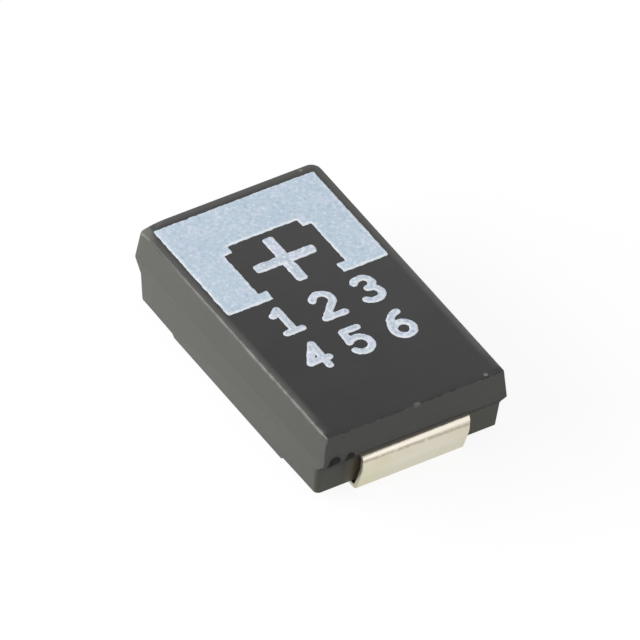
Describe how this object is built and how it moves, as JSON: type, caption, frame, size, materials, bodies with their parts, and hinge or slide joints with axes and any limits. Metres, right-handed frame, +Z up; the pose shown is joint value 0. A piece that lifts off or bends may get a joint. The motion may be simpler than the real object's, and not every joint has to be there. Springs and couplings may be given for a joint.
{
  "type": "tantalum capacitor",
  "caption": "Low-profile surface-mount tantalum capacitor: black moulded block with folded metal end terminals, a pale polarity band and a plus sign.",
  "frame": {"origin": "on the board plane, under the middle of the part's bounding box", "axes": "+X along the length towards the plain cathode end, -X towards the marked anode end, +Y across the width, +Z up from the board to the marked top"},
  "size_m": [0.0074, 0.0044, 0.0018],
  "materials": {
    "case_epoxy": "matt black moulded epoxy with a fine grain",
    "terminal_plating": "satin tin plating, slightly warm",
    "tantalum_wire": "drawn wire, dull grey",
    "sintered_tantalum": "porous sintered powder",
    "washer_polymer": "smooth white",
    "conductive_polymer": "dull blue-black film",
    "graphite": "matt dark grey coat",
    "silver_paint": "matt silver paint",
    "silver_adhesive": "cured silver-filled adhesive",
    "marking_ink": "pale blue-grey speckled ink"
  },
  "bodies": {
    "root": {"case": "case_epoxy", "anode_terminal": "terminal_plating", "cathode_terminal": "terminal_plating", "anode_wire": "tantalum_wire", "insulating_washer": "washer_polymer", "anode_pellet": "sintered_tantalum", "electrolyte_coat": "conductive_polymer", "graphite_coat": "graphite", "silver_coat": "silver_paint", "cathode_adhesive": "silver_adhesive", "polarity_band": "marking_ink", "plus_sign": "marking_ink"}
  },
  "joints": []
}
